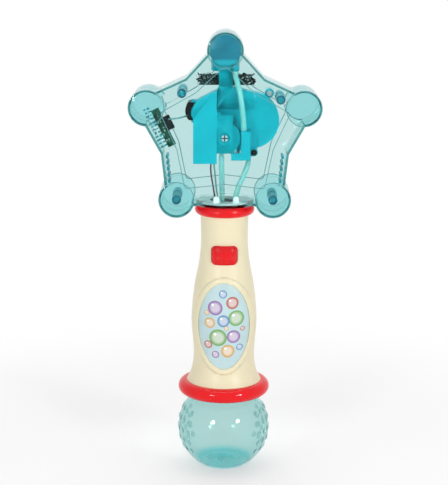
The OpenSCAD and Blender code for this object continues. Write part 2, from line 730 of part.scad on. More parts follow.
// Elbow block that turns the pumped solution up to the nozzle
module tube_block() {
    color(teal) difference() {
        union() {
            span([block_x[0], loop_y - 2.4, block_z[0]], [block_x[1], blower_y[0], block_z[1]]);
            span([loop_exit[0] - 2.2, loop_y - 2.4, block_z[0]], [block_x[1], loop_y + 2.4, loop_exit[2]]);
            cyl_y(block_screw_p, block_lug_r, blower_y[0] - block_lug_t, blower_y[0]);
            span([block_x[0] + 1.5, blower_y[0] - block_lug_t, block_screw_p[1] - block_lug_r],
                [block_screw_p[0], blower_y[0], block_screw_p[1] + block_lug_r]);
        }
        translate([loop_exit[0], loop_y, block_z[0] + 1.5]) cylinder(r = 1, h = 10);
        translate([delivery_x, loop_y, block_z[0] + 1.5]) cylinder(r = 1, h = 30);
        span([loop_exit[0], loop_y - 1, block_z[0] + 1.5], [delivery_x, loop_y + 1, block_z[0] + 3.5]);
        cyl_y(block_screw_p, small_screw_r + 0.1, blower_y[0] - block_lug_t - over, blower_y[0] + over);
    }
}
module block_screw() {
    color([0.1, 0.1, 0.11]) {
        cyl_y(block_screw_p, small_screw_r, blower_y[0] - block_lug_t - 0.2, blower_y[0] + block_lug_t - 1.6);
        cyl_y(block_screw_p, 2, blower_y[0] - block_lug_t - 1.2, blower_y[0] - block_lug_t);
    }
}

delivery_route = smooth([[delivery_x, loop_y, block_z[1] + 0.2], [delivery_x - 0.3, loop_y, block_z[1] + 5],
    [11.2, -13.4, 250], [10, -12.4, 258], [8.5, -11, 264.5], [6.9, -9.2, 270],
    [6.6, -8.8, spigot_top_z - 0.2]], 2);
module delivery_tube() {
    color(tube_white) sweep(delivery_route, tube_d);
}
filter_p = [-8.4, -4.8, 50.5];
filter_l = 9;
filter_seat = 5.8;
feed_route = smooth([feed_end - [0, 0, 0.35], [feed_x, -13, 212], [-1.9, -9, 203], [-1.8, -4.5, 194],
    [-1.8, -3, 186], [-2.4, -3, 175], [-5.8, -2.8, 165], [-9, 0.2, 160], [-11, 2.4, 151], [-11.5, 2, 142],
    [-13, -3, 134], [-13.4, -7.75, 126], [-13.4, -7.75, 100], [-13.4, -7.75, 84], [-12, -7, 76],
    [-10, -5.8, 69], [-10, -5.8, 65], filter_p + [-0.4, -0.3, 11.5], filter_p + [0, 0, filter_l],
    filter_p + [0, 0, filter_seat + 0.2]], 2);
module feed_tube() {
    color(tube_white) sweep(feed_route, tube_d);
}
return_route = smooth([[3, 10.6, spigot_top_z - 0.2], [3, 10.6, 268], [4, 10, 255], [4, 10, 236],
    [6, 10.5, 229], [12, 10, 223.5], [15.5, 6, 217.5], [15.5, 1, 211], [12.5, -1.5, 203], [9.4, -2.2, 196],
    [7.7, -2.4, 189], [6.2, -2.6, 176], [5.8, -2.8, 165], [9, 0.2, 160], [11, 2.4, 151], [11.5, 2, 142],
    [13, -3, 134], [13.4, -7.75, 126], [13.4, -7.75, 100], [13.4, -7.75, 84], [12, -7, 76], [10, -5.8, 69],
    [10, -5.8, 60]], 2);
module return_tube() {
    color(tube_white) sweep(return_route, tube_d);
}
// Strainer on the end of the feed tube
module suction_filter() {
    color(teal) translate(filter_p) difference() {
        cylinder(r = tube_d / 2 + 1.2, h = filter_l);
        translate([0, 0, filter_seat]) cylinder(r = tube_d / 2 + 0.1, h = filter_l);
        for (a = [0 : 60 : 300]) rotate([0, 0, a]) span([tube_d / 2 + 0.4, -0.4, 1], [tube_d, 0.4, 4.6]);
    }
}

wire_d = 1.1;
switch_board_w = 14;
switch_board_z = [button_z - 9.5, button_z + 5];
wire_end = switch_board_z[1] + 0.4;
wire_top = box_z[0] - 0.2;
wire_routes = [[[-9.4, -12, wire_top], [-9.2, -11.4, 206], [-7.8, -9, 197], [-6.8, -5.6, 189],
        [-6.8, -1, 180], [-6.8, 2.4, 170], [-6, 2.6, 163.5], [-5.6, 0.2, 158.5], [-5.6, -2.4, wire_end]],
    [[-7.4, -12, wire_top], [-6.6, -11.4, 206], [-5.8, -8, 197], [-5, -4.2, 189], [-5, 0, 180],
        [-5.2, 3.2, 170], [-4.6, 2.2, 163.5], [-4.2, 0, 158.5], [-4.2, -2.4, wire_end]]];
// Two thin leads from the drive down to the switch board
module motor_wires() {
    color([0.25, 0.1, 0.12]) for (r = wire_routes) sweep(smooth(r, 2), wire_d, 6);
}

chip_size = [5.4, 3.2, 9.5];
chip_seat = 1;
chip_z = -3;
module tilted_board() {
    translate([board_p[0], 0, board_p[1]]) rotate([0, -board_tilt, 0]) children();
}
// Green circuit board on its two pegs, and the black component beside it
module control_board() {
    color(board_green) tilted_board()
        span([-board_w / 2, board_y - board_t, -board_l / 2], [board_w / 2, board_y, board_l / 2]);
}
module control_chip() {
    color([0.08, 0.08, 0.09]) tilted_board()
        span([board_w / 2 - chip_seat, board_y - board_t - chip_size[1], chip_z],
            [board_w / 2 - chip_seat + chip_size[0], board_y - board_t, chip_z + chip_size[2]]);
}
light_z = star_z + 34;
light_tilt = 40;
light_y = [-5, 4];
light_l = 13;
// Two small boards that stand out from the sides of the chimney
module light_boards() {
    color([0.04, 0.25, 0.18]) at_lights() {
        span([chimney_x[0] - light_l, light_y[0], 0], [chimney_x[0], light_y[1], board_t]);
        span([chimney_x[1], light_y[0], 0], [chimney_x[1] + light_l, light_y[1], board_t]);
    }
}
// The light boards' own frame, which leans forwards
module at_lights() {
    translate([0, 0, light_z]) rotate([light_tilt, 0, 0]) children();
}
// A small clear lamp that points up
module led(p, r, h) {
    translate(p) {
        cylinder(r = r, h = h);
        cylinder(r = r + 0.4, h = 0.8);
        translate([0, 0, h]) sphere(r = r);
    }
}
light_step = [4, 9.5];
module head_leds() {
    color("white") at_lights() for (x = light_step)
        for (p = [chimney_x[0] - x, chimney_x[1] + x]) led([p, 0, board_t], 1.4, 2);
}
neck_board_z = plinth_z0 + shell_wall;
// Pale disc in the plinth that carries the two lower lamps, notched for the tubes
module neck_board() {
    color([0.6, 0.66, 0.66]) translate([0, 0, neck_board_z]) difference() {
        cylinder(r = plinth_r - shell_wall - fit_gap, h = board_t);
        translate([0, 0, -over]) cylinder(r = stub_bore_r + 0.4, h = 3 * over);
    }
}
module neck_leds() {
    color("white") for (x = [-5.6, 7.6]) led([x, -13, neck_board_z + board_t], 2.2, 2.2);
}

// Two screws that hold the blower's lugs on the rear shell's posts
module blower_screws() {
    color(steel) for (p = mount_p) {
        cyl_y(p, small_screw_r, blower_y[2] - 2.6, blower_y[2] + 5);
        cyl_y(p, 1.9, blower_y[2] - 3.6, blower_y[2] - 2.4);
    }
}

// A turned ring with a half-round outer edge
module round_edged_ring(bore, r, h) {
    rotate_extrude() union() {
        translate([bore, 0]) square([r - h / 2 - bore, h]);
        translate([r - h / 2, h / 2]) intersection() {
            circle(h / 2);
            translate([0, -h / 2]) square(h);
        }
    }
}
// Red ring between the handle and the star's plinth
module upper_collar() {
    color(red) translate([0, 0, collar_z0])
        round_edged_ring(stub_r + fit_gap, upper_collar_r, upper_collar_h);
}

// Handle: shared places
boss_r = 2.8;
case_screw_r = 1.2;
case_seat_y = 9;
collar2_z0 = handle_z0 - lower_collar_h;
neck_bore_r = neck_r + 0.3;
spigot_r = neck_bore_r + 2.4;
spigot_z1 = handle_z0 + 8.9;
flange_r = spigot_r + 1.3;
low_rib_z = [handle_z0 + 3.5, spigot_z1 - 2.7];
tray_plate_t = 1.5;
contact_t = 0.5;
contact_gap = 0.1;
nub_h = 1.4;
spring_l = 3.1;
tray_inside_h = spring_l + cell_l + nub_h + contact_gap + contact_t;
tray_z = [spigot_z1, spigot_z1 + tray_plate_t, spigot_z1 + tray_plate_t + tray_inside_h,
    spigot_z1 + 2 * tray_plate_t + tray_inside_h];
case_screw_z = [stub_z0 - 3.5, tray_z[3] + 4.5];
door_half_w = 13;
door_z = [tray_z[0] + 4.6, tray_z[2] - 0.8];
door_gap = 0.3;
door_screw_z = door_z[1] - 3.4;
door_boss_r = 3;
switch_y = -3;
button_rear_y = -8.6;
button_flange_t = 1.2;

// The wall of the handle between two offsets of its outline
module handle_skin(inner, outer) {
    difference() {
        handle_solid(outer);
        handle_solid(inner);
    }
}
// Half of the handle with its two ribs, which grip the star's stub and the lower collar
module handle_half(front) {
    intersection() {
        union() {
            handle_skin(-handle_wall, 0);
            intersection() {
                handle_solid(-handle_wall / 2);
                union() {
                    rib(groove_r + 0.25, groove_z[0] + 0.3, groove_z[1] - 0.3);
                    rib(spigot_r + 0.3, low_rib_z[0], low_rib_z[1]);
                }
            }
        }
        half(front);
    }
}
module rib(bore, z0, z1) {
    translate([0, 0, z0]) difference() {
        cylinder(r = handle_flare_r, h = z1 - z0);
        translate([0, 0, -over]) cylinder(r = bore, h = z1 - z0 + 2 * over);
    }
}
module button_outline(grow) {
    translate([0, button_z]) round_rect(button_w + 2 * grow, button_h + 2 * grow, 3 + grow);
}
label_recess = 0.4;
module label_outline(grow) {
    translate([0, label_z]) oval(label_w + 2 * grow, label_h + 2 * grow);
}

board_ledge_z = [button_z - 8.5, button_z + 2.5];
// Cream front half, with the raised oval, the button's window, screw bosses and ledges for the switch board
module handle_front() {
    color(cream) difference() {
        union() {
            handle_half(true);
            intersection() {
                handle_skin(-handle_wall / 2, rim_h);
                along_y(-40, -over) label_outline(rim_w);
            }
            intersection() {
                handle_solid(-handle_wall / 2);
                union() {
                    for (z = case_screw_z) cyl_y([0, z], boss_r, -40, 0);
                    for (s = [-1, 1], z = board_ledge_z) span([s > 0 ? switch_board_w / 2 + 0.1 : -30, -5, z],
                        [s > 0 ? 30 : -switch_board_w / 2 - 0.1, -1.4, z + 1.4]);
                }
            }
        }
        along_y(-40, -8) button_outline(fit_gap);
        intersection() {
            handle_skin(-label_recess, 5);
            along_y(-40, -over) label_outline(0);
        }
        for (z = case_screw_z) cyl_y([0, z], case_screw_r, -10, over);
    }
}

// Cream rear half, with the battery opening, the screw wells and the stop above the battery tray
module handle_rear() {
    color(cream) difference() {
        union() {
            handle_half(false);
            intersection() {
                handle_solid(-handle_wall / 2);
                union() {
                    for (z = case_screw_z) cyl_y([0, z], screw_head_r + 1.1, 0, 40);
                    intersection() {
                        rib(spigot_r - 2.6, tray_z[3], tray_z[3] + 1.4);
                        span([-40, 0.5, 0], [40, 40, handle_z1]);
                    }
                }
            }
        }
        span([-door_half_w - door_gap, over, door_z[0] - door_gap],
            [door_half_w + door_gap, 40, door_z[1] + door_gap]);
        for (z = case_screw_z) {
            cyl_y([0, z], case_screw_r + 0.15, -over, case_seat_y + over);
            cyl_y([0, z], screw_head_r + 0.2, case_seat_y, 40);
        }
    }
}
// Screws that close the handle, driven from the rear
module handle_screws() {
    color(steel) for (z = case_screw_z) {
        cyl_y([0, z], case_screw_r, -9, case_seat_y + 0.5);
        difference() {
            cyl_y([0, z], screw_head_r, case_seat_y, case_seat_y + 1.8);
            translate([0, case_seat_y + 1.8, z]) cube([3, 1.6, 0.7], center = true);
            translate([0, case_seat_y + 1.8, z]) cube([0.7, 1.6, 3], center = true);
        }
    }
}
// Thin oval plate that follows the handle's curve inside the raised rim
module label_plate() {
    color([0.75, 0.85, 0.86]) intersection() {
        handle_skin(-label_recess, 0.2);
        along_y(-40, -over) label_outline(-0.1);
    }
}

button_face_r = handle_radius(button_z) + 1.4;
// Red button with a flange behind the handle's wall and a foot that meets the switch
module push_button() {
    color(red) {
        intersection() {
            along_y(-30, button_rear_y) button_outline(0);
            cylinder(r = button_face_r, h = 2 * button_z, $fn = 128);
        }
        along_y(button_rear_y - button_flange_t, button_rear_y) button_outline(0.6);
        cyl_y([0, button_z], 1.6, button_rear_y - over, button_rear_y + 0.5);
    }
}
// Spring that lifts the button off its switch
module button_spring() {
    wire = 0.6;
    color(steel) translate([0, switch_y - wire / 2, button_z]) rotate([90, 0, 0])
        sweep(coil(5.2, 5.2, switch_y - button_rear_y - wire, 4), wire, 6);
}
module switch_board() {
    color(board_green) span([-switch_board_w / 2, switch_y, switch_board_z[0]],
        [switch_board_w / 2, switch_y + board_t, switch_board_z[1]]);
}
// Small push switch on the board
module tact_switch() {
    stem_y = button_rear_y + 0.5 + button_travel + 0.2;
    color([0.12, 0.12, 0.13]) {
        span([-3, stem_y + 1, button_z - 3], [3, switch_y, button_z + 3]);
        cyl_y([0, button_z], 1.7, stem_y, stem_y + 1.2);
    }
}

cell_orbit = 8.8;
function cell_p(k) = cell_orbit * [cos(270 + 120 * k), sin(270 + 120 * k), 0];
cell_up = [true, true, false];
tray_r = handle_low_r - handle_wall - 0.8;
tray_top_r = min(tray_r, handle_radius(tray_z[3]) - handle_wall - fit_gap);
tube_pass = [[13.4, -7.75], [11, -6.4]];
// Tray: two end plates with passages for the tubes, a spine between the cells and the boss of the door screw
module battery_tray() {
    color([0.2, 0.2, 0.22]) difference() {
        union() {
            translate([0, 0, tray_z[0]]) cylinder(r = tray_r, h = tray_plate_t);
            translate([0, 0, tray_z[2]]) cylinder(r = tray_top_r, h = tray_plate_t);
            translate([0, 0, tray_z[0]]) difference() {
                cylinder(r = 2.6, h = tray_z[3] - tray_z[0]);
                for (k = [0 : 2]) translate(cell_p(k)) translate([0, 0, -over])
                    cylinder(r = cell_d / 2 + 0.4, h = tray_z[3]);
            }
            cyl_y([0, door_screw_z], door_boss_r, 12.4, handle_radius(door_screw_z) - handle_wall - 0.4);
            span([-2, 12.4, door_screw_z], [2, tray_top_r - 1, tray_z[2] + over / 2]);
        }
        for (s = [-1, 1], p = tube_pass) translate([s * p[0], p[1], tray_z[0] - over])
            cylinder(r = tube_d / 2 + 1.2, h = tray_z[3]);
        cyl_y([0, door_screw_z], 1.9, 13.6, 40);
    }
}
// A cell's own frame, with its flat end down or up
module at_cell(k) {
    translate(cell_p(k)) if (cell_up[k]) {
        translate([0, 0, tray_z[1]]) children();
    } else {
        translate([0, 0, tray_z[2]]) mirror([0, 0, 1]) children();
    }
}
module batteries() {
    color([0.16, 0.3, 0.2]) for (k = [0 : 2]) at_cell(k) translate([0, 0, spring_l]) {
        cylinder(r = cell_d / 2, h = cell_l);
        cylinder(r = 2.75, h = cell_l + nub_h);
    }
}
module battery_springs() {
    wire = 0.7;
    color(steel) for (k = [0 : 2]) at_cell(k) translate([0, 0, wire / 2])
        sweep(coil(4.4, 2.4, spring_l - wire, 2), wire, 6);
}
module battery_plates() {
    color(steel) for (k = [0 : 2]) at_cell(k) translate([-4, -4, spring_l + cell_l + nub_h + contact_gap])
        cube([8, 8, contact_t]);
}

// Battery door with two hooks below and a screw above
module battery_door() {
    hook_x = [4.5, 8.5];
    hook_y = 14.2;
    color(cream) difference() {
        union() {
            intersection() {
                handle_skin(-handle_wall, 0);
                span([-door_half_w, over, door_z[0]], [door_half_w, 40, door_z[1]]);
            }
            for (s = [-1, 1]) intersection() {
                span([s > 0 ? hook_x[0] : -hook_x[1], hook_y, door_z[0] - 2.4],
                    [s > 0 ? hook_x[1] : -hook_x[0], 40, door_z[0] + 1.6]);
                union() {
                    handle_solid(-handle_wall - 0.35);
                    intersection() {
                        handle_solid(-handle_wall / 2);
                        span([-40, 0, door_z[0]], [40, 40, door_z[1]]);
                    }
                }
            }
        }
        cyl_y([0, door_screw_z], case_screw_r - 0.1, 10, 40);
        cyl_y([0, door_screw_z], screw_head_r + 0.1, handle_radius(door_screw_z) - 0.9, 40);
    }
}
module door_screw() {
    seat_y = handle_radius(door_screw_z) - 0.9;
    color(steel) {
        cyl_y([0, door_screw_z], 1, seat_y - 5.6, seat_y + 0.2);
        difference() {
            cyl_y([0, door_screw_z], screw_head_r, seat_y, seat_y + 1.1);
            translate([0, seat_y + 1.1, door_screw_z]) cube([3.2, 1.2, 0.7], center = true);
            translate([0, seat_y + 1.1, door_screw_z]) cube([0.7, 1.2, 3.2], center = true);
        }
    }
}

neck_z1 = handle_z0 + 3.5;
washer_t = 1.6;
deck_t = 2;
deck_tube_p = [10, -5.8];
ball_recess_h = 3.2;
ball_recess_gap = 0.6;
ball_shoulder_z = collar2_z0 + ball_recess_h - 0.3;
ball_shoulder_t = 1;
// Red collar: a round-edged brim, and a spigot with a deck that closes the reservoir
module lower_collar() {
    deck_z = neck_z1 + washer_t;
    ball_top_r = sqrt(pow(ball_r, 2) - pow(collar2_z0 - ball_z, 2));
    color(red) difference() {
        union() {
            translate([0, 0, collar2_z0]) round_edged_ring(neck_bore_r, lower_collar_r, lower_collar_h);
            translate([0, 0, handle_z0 - over]) cylinder(r = spigot_r, h = spigot_z1 - handle_z0 + over);
            translate([0, 0, low_rib_z[1] + 0.3]) cylinder(r = flange_r, h = spigot_z1 - low_rib_z[1] - 0.3);
        }
        translate([0, 0, collar2_z0 - over]) cylinder(r = neck_bore_r, h = deck_z - collar2_z0 + over);
        translate([0, 0, collar2_z0 - over])
            cylinder(r = ball_top_r + ball_recess_gap, h = over + ball_recess_h);
        translate([0, 0, deck_z + deck_t]) cylinder(r = spigot_r - 2, h = spigot_z1);
        for (s = [-1, 1]) translate([s * deck_tube_p[0], deck_tube_p[1], deck_z - over])
            cylinder(r = tube_d / 2 + 0.4, h = deck_t + 2 * over);
    }
}
module reservoir_washer() {
    color([0.2, 0.2, 0.2]) translate([0, 0, neck_z1]) difference() {
        cylinder(r = neck_r, h = washer_t);
        translate([0, 0, -over]) cylinder(r = neck_r - ball_wall, h = washer_t + 2 * over);
    }
}
dimple_d = 1;
// Clear round reservoir with a flat, dimpled base and a screw neck
module reservoir() {
    color(clear_blue) difference() {
        union() {
            intersection() {
                translate([0, 0, ball_z]) sphere(r = ball_r, $fn = 128);
                cylinder(r = 2 * ball_r, h = ball_shoulder_z);
            }
            translate([0, 0, ball_z]) cylinder(r = neck_r, h = neck_z1 - ball_z);
        }
        intersection() {
            translate([0, 0, ball_z]) sphere(r = ball_r - ball_wall, $fn = 128);
            translate([0, 0, ball_wall + dimple_d])
                cylinder(r = 2 * ball_r, h = ball_shoulder_z - ball_shoulder_t - ball_wall - dimple_d);
        }
        translate([0, 0, ball_z]) cylinder(r = neck_r - ball_wall, h = neck_z1);
        translate([0, 0, -over]) cylinder(r = dimple_r, h = over + dimple_d);
    }
}

head_front_shell();
head_rear_shell();
head_screws();
bubble_nozzle();
bubble_ring();
blower_front();
blower_rear();
fan_motor();
fan_shaft();
fan_wheel();
drive_case();
drive_cover();
cover_screw();
pump_plate();
pump_motor();
motor_shaft();
motor_pinion();
idler_pin();
idler_gear();
pump_gear();
pump_rotor();
pump_roller(0);  // pump_roller_1
pump_roller(1);  // pump_roller_2
pump_roller(2);  // pump_roller_3
pump_tube();
tube_block();
block_screw();
delivery_tube();
feed_tube();
return_tube();
suction_filter();
motor_wires();
blower_screws();
control_board();
control_chip();
light_boards();
head_leds();
neck_board();
neck_leds();
upper_collar();
handle_front();
handle_rear();
handle_screws();
label_plate();
push_button();
button_spring();
switch_board();
tact_switch();
battery_tray();
batteries();
battery_springs();
battery_plates();
battery_door();
door_screw();
lower_collar();
reservoir_washer();
reservoir();
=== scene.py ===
import math

import bmesh
import bpy
from mathutils import Matrix, Vector


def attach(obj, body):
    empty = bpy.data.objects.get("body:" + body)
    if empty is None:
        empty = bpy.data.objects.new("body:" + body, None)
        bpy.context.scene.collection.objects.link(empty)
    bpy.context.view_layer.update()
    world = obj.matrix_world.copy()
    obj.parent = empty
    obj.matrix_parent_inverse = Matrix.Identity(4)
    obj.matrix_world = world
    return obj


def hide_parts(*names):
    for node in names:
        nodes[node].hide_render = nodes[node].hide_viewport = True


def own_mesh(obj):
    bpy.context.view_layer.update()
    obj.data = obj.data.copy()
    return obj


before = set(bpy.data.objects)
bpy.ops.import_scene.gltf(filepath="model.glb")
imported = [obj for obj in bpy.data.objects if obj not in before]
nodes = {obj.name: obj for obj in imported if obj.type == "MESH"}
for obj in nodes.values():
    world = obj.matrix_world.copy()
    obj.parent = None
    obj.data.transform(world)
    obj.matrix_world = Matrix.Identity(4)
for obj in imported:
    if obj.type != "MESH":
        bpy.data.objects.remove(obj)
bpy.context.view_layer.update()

# The camera stands about a metre in front of the wand and looks a little down on it.
# It is rolled by about a third of a degree, because the wand leans that much in the photograph.
scene = bpy.context.scene
camera_place = Vector((-0.0003, -0.966, 0.362))
camera_pitch = math.radians(12)
camera_roll = math.radians(0.3)
photo_focal_px = 1450
photo_height_px = 485
photo_camera = bpy.data.cameras.new("photo_camera")
photo_camera.sensor_width = 36
photo_camera.lens = photo_focal_px / photo_height_px * photo_camera.sensor_width
camera = bpy.data.objects.new("photo_camera", photo_camera)
camera.matrix_world = (Matrix.Translation(camera_place)
    @ Matrix.Rotation(math.pi / 2 - camera_pitch, 4, "X") @ Matrix.Rotation(camera_roll, 4, "Z"))
scene.collection.objects.link(camera)
scene.camera = camera
scene.view_settings.view_transform = "Standard"


# The wand stands on a wide white studio table that keeps its soft shadow near the base
# and turns plain white further away. The room round it is white as well.
class Term:
    """A socket in a node tree. Sums and products of terms add Math nodes, and node() adds any other node."""

    def __init__(self, tree, socket=None):
        self.tree = tree
        self.socket = socket

    def node(self, kind, settings=None, sockets=None, out=0):
        made = self.tree.nodes.new(kind)
        for name, value in (settings or {}).items():
            setattr(made, name, value)
        for key, value in (sockets or {}).items():
            if isinstance(value, Term):
                self.tree.links.new(value.socket, made.inputs[key])
            else:
                made.inputs[key].default_value = value
        return Term(self.tree, made.outputs[out] if made.outputs else None)

    def maths(self, operation, *values):
        return self.node("ShaderNodeMath", {"operation": operation}, dict(enumerate(values)))

    def __add__(self, other):
        return self.maths("ADD", self, other)

    __radd__ = __add__

    def __rsub__(self, other):
        return self.maths("SUBTRACT", other, self)

    def __mul__(self, other):
        return self.maths("MULTIPLY", self, other)

    __rmul__ = __mul__

    def __abs__(self):
        return self.maths("ABSOLUTE", self)

    def __gt__(self, other):
        return self.maths("GREATER_THAN", self, other)

    def __lt__(self, other):
        return self.maths("LESS_THAN", self, other)

    def step(self, low, high):
        """0 below low, 1 above high and smooth between them."""
        return self.node("ShaderNodeMapRange", {"interpolation_type": "SMOOTHSTEP"},
            {0: self, 1: low, 2: high, 3: 0.0, 4: 1.0})

    def mix(self, first, second):
        """The first colour where this term is 0 and the second where it is 1."""
        return self.node("ShaderNodeMix", {"data_type": "RGBA"}, {0: self, 6: first, 7: second}, out=2)


def new_finish(name):
    material = bpy.data.materials.new(name)
    material.use_nodes = True
    material.node_tree.nodes.clear()
    return material, Term(material.node_tree)


def srgb(red, green, blue):
    """A colour as it is read off a screen, from 0 to 255, as linear light."""
    return tuple(((c / 255 + 0.055) / 1.055) ** 2.4 if c > 10 else c / 255 / 12.92
        for c in (red, green, blue)) + (1.0,)


def shown(t):
    """1 on rays that show the background, in gloss and through glass too, and 0 on rays that light things."""
    straight, gloss, through = (t.node("ShaderNodeLightPath", out="Is " + kind + " Ray")
        for kind in ("Camera", "Glossy", "Transmission"))
    return (straight + gloss + through).step(0.0, 1.0)


def own_place(t):
    """A point's place in its piece's own space."""
    return t.node("ShaderNodeTexCoord", out="Object")


table_r = 4.0
table_white = (0.93, 0.93, 0.93, 1)
near_glow = 0.35
shadow_reach = (0.12, 0.4)
room_light = 0.45
table_finish, t = new_finish("white_table")
place = own_place(t)
far = t.node("ShaderNodeVectorMath", {"operation": "LENGTH"}, {0: place}, out="Value").step(*shadow_reach)
paint = t.node("ShaderNodeBsdfDiffuse", {}, {"Color": table_white})
glow = t.node("ShaderNodeEmission", {}, {"Color": (1, 1, 1, 1), "Strength": 1.0})
share = shown(t) * (near_glow + (1 - near_glow) * far)
surface = t.node("ShaderNodeMixShader", {}, {0: share, 1: paint, 2: glow})
t.node("ShaderNodeOutputMaterial", {}, {"Surface": surface})
table_mesh = bpy.data.meshes.new("studio_table")
shape = bmesh.new()
bmesh.ops.create_circle(shape, cap_ends=True, segments=96, radius=table_r)
shape.to_mesh(table_mesh)
shape.free()
table_mesh.materials.append(table_finish)
table = bpy.data.objects.new("studio_table", table_mesh)
scene.collection.objects.link(table)

world = bpy.data.worlds.new("white_room")
world.use_nodes = True
world.node_tree.nodes.clear()
scene.world = world
w = Term(world.node_tree)
strength = room_light + (1 - room_light) * shown(w)
room = w.node("ShaderNodeBackground", {}, {"Color": (1, 1, 1, 1), "Strength": strength})
w.node("ShaderNodeOutputWorld", {}, {"Surface": room})

# Two softboxes in front light the handle and give the paired highlights on the reservoir.
# A wider one overhead lights the table and the tops.
aim = Vector((0, 0, 0.16))
for name, place, side, power in (("left_softbox", (-0.545, -0.984, 0.46), 0.2, 3.6),
        ("right_softbox", (0.70, -0.83, 0.48), 0.2, 4.0), ("top_softbox", (0, 0.25, 1.5), 0.9, 9.0)):
    lamp = bpy.data.lights.new(name, "AREA")
    lamp.size = side
    lamp.energy = power
    softbox = bpy.data.objects.new(name, lamp)
    softbox.location = place
    softbox.rotation_euler = (aim - Vector(place)).to_track_quat("-Z", "Y").to_euler()
    scene.collection.objects.link(softbox)


# Battery pack: three wrapped steel cells stand in a dark plastic tray inside the handle.
# Each rests between a tapered wire spring and a plated contact.
mm = 0.001
flow_grain = 60
skin_grain = 2600
streak_grain = 700
streak_stretch = (1, 14, 1)
bump_depth = 0.2 * mm


def principled(t, material, **sockets):
    """Closes a finish with one Principled shader, whose sockets are named with _ for a space."""
    named = {key.replace("_", " "): value for key, value in sockets.items()}
    shader = t.node("ShaderNodeBsdfPrincipled", {}, named)
    t.node("ShaderNodeOutputMaterial", {}, {"Surface": shader})
    return material


def mottle(t, scale, detail=3.0):
    """Even noise in the piece's own space, from 0 to 1, with so many grains to the metre."""
    return t.node("ShaderNodeTexNoise", {}, {"Vector": own_place(t), "Scale": scale, "Detail": detail})


def height(t):
    """A point's height above the table."""
    return t.node("ShaderNodeSeparateXYZ", {}, {0: own_place(t)}, out="Z")


def shaded(colour, share):
    """A colour with so much of its light."""
    return tuple(c * share for c in colour[:3]) + (1,)


def moulded_plastic(name, colour, gloss, deeper=0.93, edge=0.2 * mm, sheen=0.5):
    """Moulded plastic: faint flow marks in its colour and gloss, a fine skin and softened edges."""
    material, t = new_finish(name)
    flow = mottle(t, flow_grain)
    skin = mottle(t, skin_grain, 2.0)
    soft_edge = t.node("ShaderNodeBevel", {"samples": 4}, {"Radius": edge})
    normal = t.node("ShaderNodeBump", {}, {"Strength": 0.06, "Distance": bump_depth, "Height": skin,
        "Normal": soft_edge})
    return principled(t, material, Base_Color=flow.step(0.3, 0.75).mix(colour, shaded(colour, deeper)),
        Roughness=gloss * (1 + 0.35 * flow) + 0.02 * skin, Specular_IOR_Level=sheen, Normal=normal)


def plated_steel(name, tint, gloss):
    """Plated steel: fine turned streaks and dull patches."""
    material, t = new_finish(name)
    long = t.node("ShaderNodeMapping", {}, {"Vector": own_place(t), "Scale": streak_stretch})
    streak = t.node("ShaderNodeTexNoise", {}, {"Vector": long, "Scale": streak_grain, "Detail": 2.0})
    patch = mottle(t, 300)
    normal = t.node("ShaderNodeBump", {}, {"Strength": 0.08, "Distance": bump_depth, "Height": streak})
    return principled(t, material, Base_Color=patch.step(0.4, 0.7).mix(tint, shaded(tint, 0.8)), Metallic=1.0,
        Roughness=gloss + 0.15 * patch + 0.08 * streak, Normal=normal)


def coat(finish, *names):
    """Gives CAD nodes a finish in place of the one they were packed with."""
    for name in names:
        mesh = nodes[name].data
        mesh.materials.clear()
        mesh.materials.append(finish)


zinc = plated_steel("bright_zinc", srgb(205, 207, 210), 0.18)
dark_plastic = moulded_plastic("dark_tray_plastic", srgb(52, 52, 56), 0.42)
wrap_band = (112.0 * mm, 112.2 * mm)
wrap_green = srgb(40, 96, 62)
wrap_copper = srgb(196, 160, 88)
cell_wrap, t = new_finish("cell_wrap")
principled(t, cell_wrap, Base_Color=height(t).step(*wrap_band).mix(wrap_green, wrap_copper), Metallic=0.6,
    Roughness=0.25 + 0.1 * mottle(t, 200))
coat(zinc, "battery_springs", "battery_plates")
coat(dark_plastic, "battery_tray")
coat(cell_wrap, "batteries")


# Switch: a small push switch on a green board behind the button, with a coil spring that lifts the button.
# The board stands between two pairs of ledges in the front half of the handle.
merge_reach = 0.001 * mm


def finished(node, finish, body="wand", crease=30):
    """A merged, smoothly shaded copy of a CAD node in its finish. It is shown in the node's place."""
    mesh = nodes[node].data.copy()
    mesh.transform(nodes[node].matrix_world)
    shape = bmesh.new()
    shape.from_mesh(mesh)
    bmesh.ops.remove_doubles(shape, verts=shape.verts, dist=merge_reach)
    shape.to_mesh(mesh)
    shape.free()
    mesh.materials.clear()
    mesh.materials.append(finish)
    mesh.shade_smooth()
    mesh.set_sharp_from_angle(angle=math.radians(crease))
    piece = bpy.data.objects.new(node + "_finished", mesh)
    scene.collection.objects.link(piece)
    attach(piece, body)
    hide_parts(node)
    return piece


solder_mask = moulded_plastic("green_solder_mask", srgb(0, 78, 58), 0.35, sheen=0.25)
coat(solder_mask, "switch_board")
coat(dark_plastic, "tact_switch")
spring = finished("button_spring", zinc)
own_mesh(spring)

# Handle: two cream mouldings with a raised oval rim in front and a battery door behind.
# They are screwed together from the rear, and their skin is smooth and satin.
cream = moulded_plastic("cream_plastic", srgb(233, 224, 191), 0.30, deeper=0.97, edge=0.4 * mm, sheen=0.35)
finished("handle_front", cream)
finished("handle_rear", cream)
finished("battery_door", cream, body="door")
coat(zinc, "handle_screws", "door_screw")

